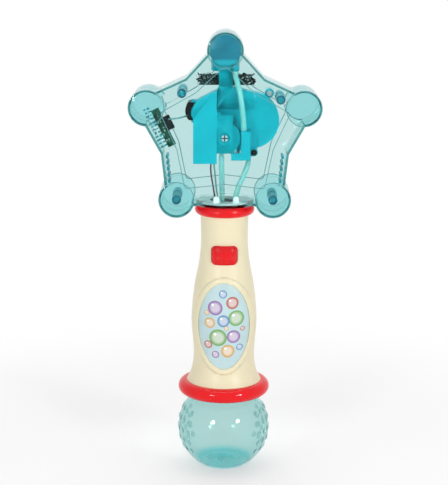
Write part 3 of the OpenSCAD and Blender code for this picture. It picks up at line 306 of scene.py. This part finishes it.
# Label: a thin printed film in the oval, pale blue with a loose cluster of plain coloured bubbles.
# Each bubble is a flat disc of ink that is deeper towards its rim, with a pale glint.
label_middle = Vector((0, 0, 103 * mm))
label_ground = srgb(190, 216, 220)
ink = {"purple": srgb(142, 104, 168), "brown": srgb(176, 84, 66), "green": srgb(112, 168, 92),
    "ochre": srgb(206, 164, 84), "blue": srgb(84, 138, 186)}
glint_white = (0.95, 0.97, 0.97, 1)
glint_shift = Vector((-0.35, 0, 0.4))
printed_bubbles = ((-6, 13, 5.0, "purple"), (5.6, 16.5, 4.2, "brown"), (8.2, 6, 5.4, "green"),
    (-9.6, 2.6, 3.6, "ochre"), (-0.4, 4.2, 4.2, "blue"), (-4, -7.5, 6.0, "green"), (6.4, -6.8, 4.6, "purple"),
    (-10.6, -12.8, 2.8, "brown"), (2.6, -17, 4.6, "ochre"), (-0.8, 22.4, 2.8, "blue"),
    (-11.6, 9.4, 1.8, "ochre"), (10.6, -14.6, 2.4, "blue"), (-5.6, -19.6, 2.6, "purple"),
    (1.6, -0.8, 1.6, "ochre"), (12.6, -1.6, 1.7, "brown"))


def away_from(t, middle):
    """How far a point lies from a line along Y through the middle."""
    flat = t.node("ShaderNodeVectorMath", {"operation": "MULTIPLY"}, {0: own_place(t), 1: (1, 0, 1)})
    return t.node("ShaderNodeVectorMath", {"operation": "DISTANCE"}, {0: flat, 1: middle}, out="Value")


label_film, t = new_finish("label_film")
printed = mottle(t, 120).step(0.3, 0.7).mix(label_ground, shaded(label_ground, 0.95))
for x, z, r, colour in printed_bubbles:
    r *= mm
    middle = label_middle + Vector((x, 0, z)) * mm
    away = away_from(t, middle)
    pale = tuple(0.45 * c + 0.5 for c in ink[colour][:3]) + (1,)
    bubble = away.step(0.45 * r, 0.95 * r).mix(pale, ink[colour])
    bubble = away_from(t, middle + glint_shift * r).step(0.1 * r, 0.24 * r).mix(glint_white, bubble)
    printed = away.step(r - 0.25 * mm, r + 0.1 * mm).mix(bubble, printed)
fibre = mottle(t, 900)
principled(t, label_film, Base_Color=printed, Roughness=0.30 + 0.12 * fibre, Specular_IOR_Level=0.4)
finished("label_plate", label_film)

# Button and collars: glossy red mouldings. The button slides in its window in the handle.
# The upper ring sits under the star, and the lower one carries the reservoir's screw neck.
red = moulded_plastic("red_plastic", srgb(232, 0, 14), 0.07, deeper=0.92, edge=0.5 * mm, sheen=0.32)
finished("push_button", red, body="button")
finished("upper_collar", red)
finished("lower_collar", red)

# Reservoir: a blown ball of clear, faintly blue plastic with a screw neck, sealed by a rubber washer.
# Rows of small raised dots at both sides give a grip for the fingers.
spot_gloss = 0.25
washer_rubber = moulded_plastic("washer_rubber", srgb(50, 50, 50), 0.6)
coat(washer_rubber, "reservoir_washer")


def clear_plastic(name, tint, depth_tint, density, bend, gloss, deep=None, deep_z=None, spots=(),
        deep_spot=None):
    """Clear plastic that tints what lies behind it, more so along its walls.
    It may have a deeper tint below a height, and be deeper and glossier within a radius of some spots."""
    material, t = new_finish(name)
    skin = mottle(t, 180)
    if deep:
        tint = height(t).step(*deep_z).mix(deep, tint)
    for middle, r in spots:
        inside = 1 - away_from(t, middle).step(0.9 * r, r)
        gloss = gloss + spot_gloss * inside
        tint = inside.mix(tint, deep_spot)
    normal = t.node("ShaderNodeBump", {}, {"Strength": 0.03, "Distance": 0.3 * mm, "Height": skin})
    surface = t.node("ShaderNodeBsdfPrincipled", {}, {"Base Color": tint, "Roughness": 0.01 + 0.03 * skin,
        "IOR": bend, "Transmission Weight": 1.0, "Coat Weight": gloss, "Coat Roughness": 0.04,
        "Normal": normal})
    body = t.node("ShaderNodeVolumeAbsorption", {}, {"Color": depth_tint, "Density": density})
    t.node("ShaderNodeOutputMaterial", {}, {"Surface": surface, "Volume": body})
    return material


def new_rule(name, **kinds):
    """A Geometry Nodes tree with named inputs: the tree, a first term and its inputs by name."""
    tree = bpy.data.node_groups.new(name, "GeometryNodeTree")
    tree.interface.new_socket("Geometry", in_out="INPUT", socket_type="NodeSocketGeometry")
    for key, kind in kinds.items():
        tree.interface.new_socket(key.replace("_", " "), in_out="INPUT", socket_type="NodeSocket" + kind)
    tree.interface.new_socket("Geometry", in_out="OUTPUT", socket_type="NodeSocketGeometry")
    group = tree.nodes.new("NodeGroupInput")
    return tree, Term(tree), {socket.name: Term(tree, socket) for socket in group.outputs}


def close_rule(t, shape, finish):
    """Ends a tree: real meshes in their finish."""
    real = t.node("GeometryNodeRealizeInstances", {}, {"Geometry": shape})
    t.node("NodeGroupOutput", {}, {"Geometry": t.node("GeometryNodeSetMaterial", {},
        {"Geometry": real, "Material": finish})})


def grown(name, tree, values, body, source=None, placing=None):
    """A plain mesh made by a tree from its values, put in its place and set on a body."""
    piece = bpy.data.objects.new(name, source or bpy.data.meshes.new(name))
    scene.collection.objects.link(piece)
    rule = piece.modifiers.new("rule", "NODES")
    rule.node_group = tree
    keys = {item.name: item.identifier for item in tree.interface.items_tree if item.in_out == "INPUT"}
    for key, value in values.items():
        rule[keys[key]] = value
    result = bpy.data.meshes.new_from_object(piece.evaluated_get(bpy.context.evaluated_depsgraph_get()))
    piece.modifiers.remove(rule)
    result.name = name
    result.transform(placing or Matrix.Identity(4))
    piece.data = result
    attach(piece, body)
    return piece


ball_r = 31.3 * mm
ball_middle = Vector((0, 0, 26.8 * mm))
dot_r = 2.1 * mm
dot_rise = 0.3
dots_round = 28
dot_side = 0.66
dot_height = 0.6
ball_clear = clear_plastic("clear_ball", (0.74, 0.865, 0.855, 1), (0.0, 0.66, 0.66, 1), 70.0, 1.07, 0.5,
    deep=(0.32, 0.80, 0.83, 1), deep_z=(1.5 * mm, 5 * mm))
ball_piece = finished("reservoir", ball_clear, body="reservoir")
ball_piece.visible_shadow = False
grip_tree, t, given = new_rule("grip_dots", Ball_Radius="Float", Dots_Round="Int", Dot_Rows="Int",
    Dot_Radius="Float", Rise="Float", Side="Float", Height="Float", Finish="Material")
ball = t.node("GeometryNodeMeshUVSphere", {}, {"Segments": given["Dots Round"], "Rings": given["Dot Rows"],
    "Radius": given["Ball Radius"]})
spot = t.node("GeometryNodeInputPosition")
across, up = (abs(t.node("ShaderNodeSeparateXYZ", {}, {0: spot}, out=way)) for way in ("X", "Z"))
at_side = (across > given["Ball Radius"] * given["Side"]) * (up < given["Ball Radius"] * given["Height"])
normal = t.node("GeometryNodeInputNormal")
outward = t.node("FunctionNodeAlignRotationToVector", {"axis": "Z"}, {"Vector": normal})
dot = t.node("GeometryNodeMeshUVSphere", {}, {"Segments": 14, "Rings": 9, "Radius": given["Dot Radius"]})
flatter = t.node("ShaderNodeCombineXYZ", {}, {0: 1.0, 1: 1.0, 2: given["Rise"]})
dots = t.node("GeometryNodeInstanceOnPoints", {}, {"Points": ball, "Selection": at_side, "Instance": dot,
    "Rotation": outward, "Scale": flatter})
dots = t.node("GeometryNodeRealizeInstances", {}, {0: dots})
close_rule(t, t.node("GeometryNodeSetShadeSmooth", {}, {0: dots}), given["Finish"])
dots_piece = grown("grip_dots", grip_tree, {"Ball Radius": ball_r, "Dots Round": dots_round,
    "Dot Rows": dots_round // 2, "Dot Radius": dot_r, "Rise": dot_rise, "Side": dot_side, "Height": dot_height,
    "Finish": ball_clear}, "reservoir", placing=Matrix.Translation(ball_middle))
dots_piece.visible_shadow = False

# Blower and drive: glossy teal mouldings, screwed together and to posts in the rear half of the star.
# The gears, fan and rotor inside them are white acetal that turns on steel pins.
teal = moulded_plastic("teal_plastic", (0.0, 0.40, 0.49, 1), 0.24, deeper=0.88, edge=0.4 * mm, sheen=0.2)
for name in ("bubble_ring", "blower_front", "blower_rear", "drive_case", "drive_cover", "pump_plate",
        "tube_block", "suction_filter"):
    finished(name, teal)
# The nozzle's teal is painted shade above a band and painted light below it, as on its lit, domed front.
nozzle_shade_band = (281 * mm, 283 * mm)
nozzle_painted_light = (0.0, 0.37, 0.45, 1)
nozzle_painted_shade = (0.0, 0.16, 0.235, 1)
nozzle_shaded_teal, t = new_finish("nozzle_shaded_teal")
principled(t, nozzle_shaded_teal, Base_Color=height(t).step(*nozzle_shade_band).mix(nozzle_painted_light, nozzle_painted_shade),
    Roughness=0.18 + 0.1 * mottle(t, flow_grain), Specular_IOR_Level=0.3)
finished("bubble_nozzle", nozzle_shaded_teal)
acetal = moulded_plastic("white_acetal", srgb(236, 236, 230), 0.35)
coat(acetal, "fan_wheel", "motor_pinion", "idler_gear", "pump_gear", "pump_rotor")
coat(zinc, "fan_motor", "fan_shaft", "motor_shaft", "idler_pin", "pump_roller_1", "pump_roller_2",
    "pump_roller_3", "blower_screws", "head_screws")
black_oxide = plated_steel("black_oxide", srgb(34, 34, 36), 0.3)
coat(black_oxide, "block_screw", "pump_motor")
# The screw's cross recess is painted dark teal and not metal: painted shade in the recess.
cross_arm = (0.35 * mm, 0.55 * mm)
cross_painted_shade = srgb(20, 84, 96)
cross_bright = srgb(236, 240, 240)
screw_points = [v.co for v in nodes["cover_screw"].data.vertices]
screw_middle = sum(screw_points, Vector()) / len(screw_points)
cross_screw, t = new_finish("cross_screw")
off = t.node("ShaderNodeVectorMath", {"operation": "SUBTRACT"}, {0: own_place(t), 1: screw_middle})
arms = [abs(t.node("ShaderNodeSeparateXYZ", {}, {0: off}, out=way)) for way in ("X", "Z")]
cross = t.maths("MINIMUM", *arms).step(*cross_arm)
principled(t, cross_screw, Base_Color=cross.mix(cross_painted_shade, cross_bright), Metallic=cross,
    Roughness=0.16 + 0.1 * mottle(t, 700))
coat(cross_screw, "cover_screw")

# Tubes: soft extruded tubes. One feeds the pump from the reservoir, one leads to the nozzle and one drains it.
# They push onto short bosses, and run down through the handle beside the battery pack.
soft_tube, t = new_finish("soft_tube")
principled(t, soft_tube, Base_Color=srgb(122, 194, 192), Roughness=0.22 + 0.1 * mottle(t, 300),
    Specular_IOR_Level=0.35, Subsurface_Weight=0.3)
tube_r = 1.8 * mm
tube_routes = {
    "delivery_tube": ((12.5, -13.8, 235.2), (12.2, -13.8, 240), (11.2, -13.4, 250), (10, -12.4, 258),
        (8.5, -11, 264.5), (6.9, -9.2, 270), (6.6, -8.8, 273.6)),
    "feed_tube": ((-2.2, -13.8, 218.15), (-2.2, -13, 212), (-1.9, -9, 203), (-1.8, -4.5, 194), (-1.8, -3, 186),
        (-2.4, -3, 175), (-5.8, -2.8, 165), (-9, 0.2, 160), (-11, 2.4, 151), (-11.5, 2, 142), (-13, -3, 134),
        (-13.4, -7.75, 126), (-13.4, -7.75, 100), (-13.4, -7.75, 84), (-12, -7, 76), (-10, -5.8, 69),
        (-10, -5.8, 65), (-8.8, -5.1, 62), (-8.4, -4.8, 59.5), (-8.4, -4.8, 56.5)),
    "return_tube": ((3, 10.6, 273.6), (3, 10.6, 268), (4, 10, 255), (4, 10, 236), (6, 10.5, 229),
        (12, 10, 223.5), (15.5, 6, 217.5), (15.5, 1, 211), (12.5, -1.5, 203), (9.4, -2.2, 196),
        (7.7, -2.4, 189), (6.2, -2.6, 176), (5.8, -2.8, 165), (9, 0.2, 160), (11, 2.4, 151), (11.5, 2, 142),
        (13, -3, 134), (13.4, -7.75, 126), (13.4, -7.75, 100), (13.4, -7.75, 84), (12, -7, 76), (10, -5.8, 69),
        (10, -5.8, 60))}


def route_line(name, *routes, closed=False):
    """Bare edges along routes in millimetres."""
    points, edges = [], []
    for route in routes:
        first = len(points)
        points += [Vector(p) * mm for p in route]
        edges += [(i, i + 1) for i in range(first, len(points) - 1)]
        if closed:
            edges.append((len(points) - 1, first))
    line = bpy.data.meshes.new(name)
    line.from_pydata(points, edges, [])
    return line


def drawn_rule(name, curved, sides):
    """A tree that draws a round section along a line, curved smoothly or straight from point to point."""
    tree, t, given = new_rule(name, Radius="Float", Finish="Material")
    line = t.node("GeometryNodeMeshToCurve", {}, {"Mesh": given["Geometry"]})
    if curved:
        line = t.node("GeometryNodeCurveSplineType", {"spline_type": "CATMULL_ROM"}, {"Curve": line})
        line = t.node("GeometryNodeSetSplineResolution", {}, {0: line, "Resolution": 8})
    section = t.node("GeometryNodeCurvePrimitiveCircle", {}, {"Resolution": sides, "Radius": given["Radius"]})
    drawn = t.node("GeometryNodeCurveToMesh", {}, {"Curve": line, "Profile Curve": section, "Fill Caps": True})
    close_rule(t, t.node("GeometryNodeSetShadeSmooth", {}, {0: drawn}), given["Finish"])
    return tree


tube_tree = drawn_rule("drawn_tube", True, 20)
for name, route in tube_routes.items():
    tube = grown(name + "_drawn", tube_tree, {"Radius": tube_r, "Finish": soft_tube}, "wand",
        source=route_line(name, route))
    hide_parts(name)
coat(soft_tube, "pump_tube")

# Leads: two thin insulated wires from the drive case down to the switch board, one dark and one pale,
# with a third, pale one from the control board to the pump's motor. They hang between their soldered ends.
lead_r = 0.55 * mm
dark_lead = moulded_plastic("dark_lead", srgb(84, 40, 58), 0.4)
pale_lead = moulded_plastic("pale_lead", srgb(96, 150, 150), 0.4)
lead_routes = (((-9.4, -12, 213.3), (-9.2, -11.4, 206), (-7.8, -9, 197), (-6.8, -5.6, 189), (-6.8, -1, 180),
        (-6.8, 2.4, 170), (-6, 2.6, 163.5), (-5.6, 0.2, 158.5), (-5.6, -2.4, 156.4)),
    ((-7.4, -12, 213.3), (-6.6, -11.4, 206), (-5.8, -8, 197), (-5, -4.2, 189), (-5, 0, 180),
        (-5.2, 3.2, 170), (-4.6, 2.2, 163.5), (-4.2, 0, 158.5), (-4.2, -2.4, 156.4)),
    ((-38.4, -8.4, 242), (-36, -9.6, 242.2), (-31, -9.4, 242.8), (-26, -7, 243.8), (-23, -2, 244.6)))
lead_tree = drawn_rule("drawn_lead", True, 12)
dark = grown("dark_lead_drawn", lead_tree, {"Radius": lead_r, "Finish": dark_lead}, "wand",
    source=route_line("dark_lead", lead_routes[0]))
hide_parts("motor_wires")
grown("pale_leads_drawn", lead_tree, {"Radius": lead_r, "Finish": pale_lead}, "wand",
    source=route_line("pale_leads", *lead_routes[1:]))

# Boards and lamps: a narrow green board on two pegs with a black component, two dark boards beside the chimney
# and a pale disc round the neck, over a dark disc of painted shade. Small parts are soldered on, and the lamps
# are domes.
board_turn = Matrix.Translation(Vector((-41, -6.2, 236)) * mm) @ Matrix.Rotation(math.radians(-26), 4, "Y")
light_turn = Matrix.Translation(Vector((0, 0, 267.5)) * mm) @ Matrix.Rotation(math.radians(40), 4, "X")
lying = Matrix.Rotation(math.radians(90), 4, "X")
dark_mask = moulded_plastic("dark_solder_mask", srgb(4, 44, 38), 0.35, sheen=0.25)
pale_mask = moulded_plastic("pale_board", srgb(176, 190, 188), 0.3)
chip_black = moulded_plastic("chip_black", srgb(6, 12, 18), 0.45, sheen=0.2)
solder = plated_steel("solder", srgb(190, 200, 198), 0.25)
coat(solder_mask, "control_board")
coat(dark_mask, "light_boards")
coat(pale_mask, "neck_board")
coat(chip_black, "control_chip")
lamp_lens, t = new_finish("lamp_lens")
principled(t, lamp_lens, Base_Color=srgb(246, 249, 249), Roughness=0.12 + 0.05 * mottle(t, 500),
    Specular_IOR_Level=0.6)
lamp_clear = clear_plastic("lamp_clear", (0.86, 0.92, 0.92, 1), (0.5, 0.6, 0.6, 1), 60.0, 1.25, 1.0)
finished("head_leds", lamp_clear)
finished("neck_leds", lamp_lens)
# The dark disc under the neck board is no real part: it is painted shade that darkens the gaps round the neck.
shade_disc_r = 12.5 * mm
shade_disc_t = 0.6 * mm
shade_disc_drop = 1.2 * mm
shade_disc_z = min(v.co.z for v in nodes["neck_board"].data.vertices) - shade_disc_drop
shade_disc_shape = bmesh.new()
bmesh.ops.create_cone(shade_disc_shape, cap_ends=True, segments=48, radius1=shade_disc_r, radius2=shade_disc_r, depth=shade_disc_t,
    matrix=Matrix.Translation((0, 0, shade_disc_z)))
shade_disc_mesh = bpy.data.meshes.new("neck_shade_disc")
shade_disc_shape.to_mesh(shade_disc_mesh)
shade_disc_shape.free()
shade_disc_mesh.materials.append(dark_plastic)
shade_disc = bpy.data.objects.new("neck_shade_disc", shade_disc_mesh)
scene.collection.objects.link(shade_disc)
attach(shade_disc, "wand")
parts_tree, t, given = new_rule("soldered_parts", Width="Float", Length="Float", Columns="Int", Rows="Int",
    Smallest="Vector", Largest="Vector", Share="Float", Turn="Float", Seed="Int", Finish="Material")
field = t.node("GeometryNodeMeshGrid", {}, {"Size X": given["Width"], "Size Y": given["Length"],
    "Vertices X": given["Columns"], "Vertices Y": given["Rows"]})
size = t.node("FunctionNodeRandomValue", {"data_type": "FLOAT_VECTOR"}, {0: given["Smallest"],
    1: given["Largest"], "Seed": given["Seed"]})
kept = t.node("FunctionNodeRandomValue", {"data_type": "BOOLEAN"}, {"Probability": given["Share"],
    "Seed": given["Seed"]}, out=3)
turned = t.node("FunctionNodeRandomValue", {"data_type": "FLOAT_VECTOR"}, {0: (-1, -1, -1), 1: (1, 1, 1),
    "Seed": given["Seed"] + 7})
turned = t.node("ShaderNodeVectorMath", {"operation": "SCALE"}, {0: turned, "Scale": given["Turn"]})
block = t.node("GeometryNodeMeshCube", {}, {"Size": (1, 1, 1)})
close_rule(t, t.node("GeometryNodeInstanceOnPoints", {}, {"Points": field, "Selection": kept, "Instance": block,
    "Rotation": turned, "Scale": size}), given["Finish"])


def soldered(name, field, counts, smallest, largest, share, turn, seed, finish, placing):
    """Small blocks in rows on a field. Its size and the smallest and largest block are in millimetres."""
    smallest, largest = (tuple(v * mm for v in block) for block in (smallest, largest))
    grown(name, parts_tree, {"Width": field[0] * mm, "Length": field[1] * mm, "Columns": counts[0],
        "Rows": counts[1], "Smallest": smallest, "Largest": largest, "Share": share, "Turn": turn, "Seed": seed,
        "Finish": finish}, "wand", placing=placing)


on_board = board_turn @ lying
soldered("control_parts", (3.4, 17), (3, 9), (0.5, 0.6, 0.5), (1.1, 1.3, 1.3), 0.55, 0, 4, solder,
    on_board)
soldered("control_chips", (3.2, 14), (2, 4), (0.9, 1.2, 0.8), (1.5, 2.2, 1.8), 0.7, 0, 9, chip_black,
    on_board)
lamp_field = (13, 8)
lamp_counts = (6, 5)
lamp_turn = 0.9
lamp_sides = (("left", -11.2), ("right", 11.9))
for kind, smallest, largest, share, seeds, finish in (
        ("_lamp_parts", (0.7, 0.4, 0.5), (4.2, 1.0, 1.6), 0.7, (3, 5), chip_black),
        ("_lamp_legs", (1.2, 0.3, 0.3), (4.4, 0.5, 0.5), 0.5, (6, 8), solder)):
    for (side, x), seed in zip(lamp_sides, seeds):
        beside = light_turn @ Matrix.Translation(Vector((x, -0.6, 1.4)) * mm)
        soldered(side + kind, lamp_field, lamp_counts, smallest, largest, share, lamp_turn, seed, finish,
            beside)

# Star: two clear, faintly blue shells, moulded with a flat panel, bevels and five domed lobes.
# Screws in hollow bosses hold them together. Fine dark teal beads run round the panels and the lobes as painted
# edge shade, and small ribs stiffen the sides.
star_middle = Vector((0, 0, 233.5))
edge_line_r = 0.26 * mm
panel_depth = 20.0
panel_notch_r = 33.3
panel_tip = (0.9, 44.0)
lobe_r = 12.0
lobe_ring_r = 54.5
lobe_edge = 19.4
lobe_line_inset = 0.3
shell_crease = 9
seam_gap = 0.03 * mm
lobes = [star_middle + lobe_ring_r * Vector((math.sin(math.radians(a)), 0, math.cos(math.radians(a))))
    for a in (0, 72, 144, 216, 288)]
head_clear = clear_plastic("clear_shell", (0.775, 0.90, 0.895, 1), (0.0, 0.55, 0.55, 1), 55.0, 1.06, 0.12,
    spots=[(p * mm, lobe_r * mm) for p in lobes], deep_spot=(0.56, 0.84, 0.85, 1))
for name, forward in (("head_front_shell", seam_gap), ("head_rear_shell", 0)):
    shell = finished(name, head_clear, crease=shell_crease)
    shell.data.transform(Matrix.Translation((0, -forward, 0)))
    shell.visible_shadow = False
# The beads' dark teal is painted edge shade, the dark lines along the clear panel and lobe edges.
painted_edge_shade, t = new_finish("bead_painted_edge_shade")
principled(t, painted_edge_shade, Base_Color=mottle(t, 200).mix(srgb(70, 140, 146), srgb(96, 160, 164)), Roughness=0.3)


def panel_outline(y):
    """The star panel's corners at a depth y, in millimetres."""
    corners = []
    half_tip, tip_r = panel_tip
    for turn in range(0, 360, 72):
        for x, z, degrees in ((-half_tip, tip_r, turn), (half_tip, tip_r, turn), (0, panel_notch_r, turn + 36)):
            c, s = math.cos(math.radians(degrees)), math.sin(math.radians(degrees))
            corners.append(star_middle + Vector((x * c + z * s, y, z * c - x * s)))
    return corners


ring_points = 48


def ring(x, y, z, r):
    """Points of an upright circle, in millimetres."""
    turns = [math.tau * k / ring_points for k in range(ring_points)]
    return [Vector((x + r * math.sin(a), y, z + r * math.cos(a))) for a in turns]


screw_places = [(lobes[2].x, lobes[2].z), (lobes[3].x, lobes[3].z), (-28.5, 260.0), (36.5, 256.0)]
boss_r = 3.05
boss_span = (-17, 13)
boss_ring_r = 2.5
boss_ring_wire = 0.55
boss_ring_y = -17.2
bead_tree = drawn_rule("drawn_bead", False, 8)
grown("lobe_edge_lines", bead_tree, {"Radius": edge_line_r, "Finish": painted_edge_shade}, "wand",
    source=route_line("lobe_edge_lines", *[ring(p.x, y, p.z, lobe_r - lobe_line_inset) for p in lobes
    for y in (-lobe_edge, lobe_edge)], closed=True))
boss_teal, t = new_finish("boss_teal")
principled(t, boss_teal, Base_Color=mottle(t, 120).mix(srgb(0, 146, 160), srgb(20, 164, 176)), Roughness=0.25,
    Alpha=0.7)
boss_tree = drawn_rule("drawn_boss", False, 32)
bosses = grown("boss_skins", boss_tree, {"Radius": boss_r * mm, "Finish": boss_teal}, "wand",
    source=route_line("boss_skins", *[[(x, y, z) for y in boss_span] for x, z in screw_places]))
bosses.visible_shadow = False
ring_teal = moulded_plastic("boss_ring_teal", srgb(0, 84, 104), 0.25)
grown("boss_rings", bead_tree, {"Radius": boss_ring_wire * mm, "Finish": ring_teal}, "wand",
    source=route_line("boss_rings", *[ring(x, boss_ring_y, z, boss_ring_r) for x, z in screw_places],
    closed=True))
grown("panel_edge_lines", bead_tree, {"Radius": edge_line_r, "Finish": painted_edge_shade}, "wand",
    source=route_line("panel_edge_lines", panel_outline(-panel_depth), panel_outline(panel_depth), closed=True))
rib_clear = moulded_plastic("rib_teal", srgb(0, 138, 152), 0.2)
rib_count = 5
rib_start = Vector((38.4, -4, 217)) * mm
rib_step = Vector((-0.36, 0, -4.1)) * mm
rib_size = Vector((1.8, 14, 2.0)) * mm
rib_tree, t, given = new_rule("rib_row", Count="Int", Start="Vector", Step="Vector", Size="Vector",
    Finish="Material")
row = t.node("GeometryNodeMeshLine", {"mode": "OFFSET"}, {"Count": given["Count"],
    "Start Location": given["Start"], "Offset": given["Step"]})
rib = t.node("GeometryNodeMeshCube", {}, {"Size": given["Size"]})
close_rule(t, t.node("GeometryNodeInstanceOnPoints", {}, {"Points": row, "Instance": rib}), given["Finish"])
for name, mirror in (("left_ribs", Vector((-1, 1, 1))), ("right_ribs", Vector((1, 1, 1)))):
    grown(name, rib_tree, {"Count": rib_count, "Start": tuple(rib_start * mirror),
        "Step": tuple(rib_step * mirror), "Size": tuple(rib_size), "Finish": rib_clear}, "wand")
beside_board = board_turn @ Matrix.Translation(Vector((-4.9, -1, 2.5)) * mm) @ lying
soldered("board_ribs", (2.6, 27), (2, 12), (1.2, 0.6, 2), (2.4, 1.3, 6), 0.85, 0.15, 12, rib_clear,
    beside_board)
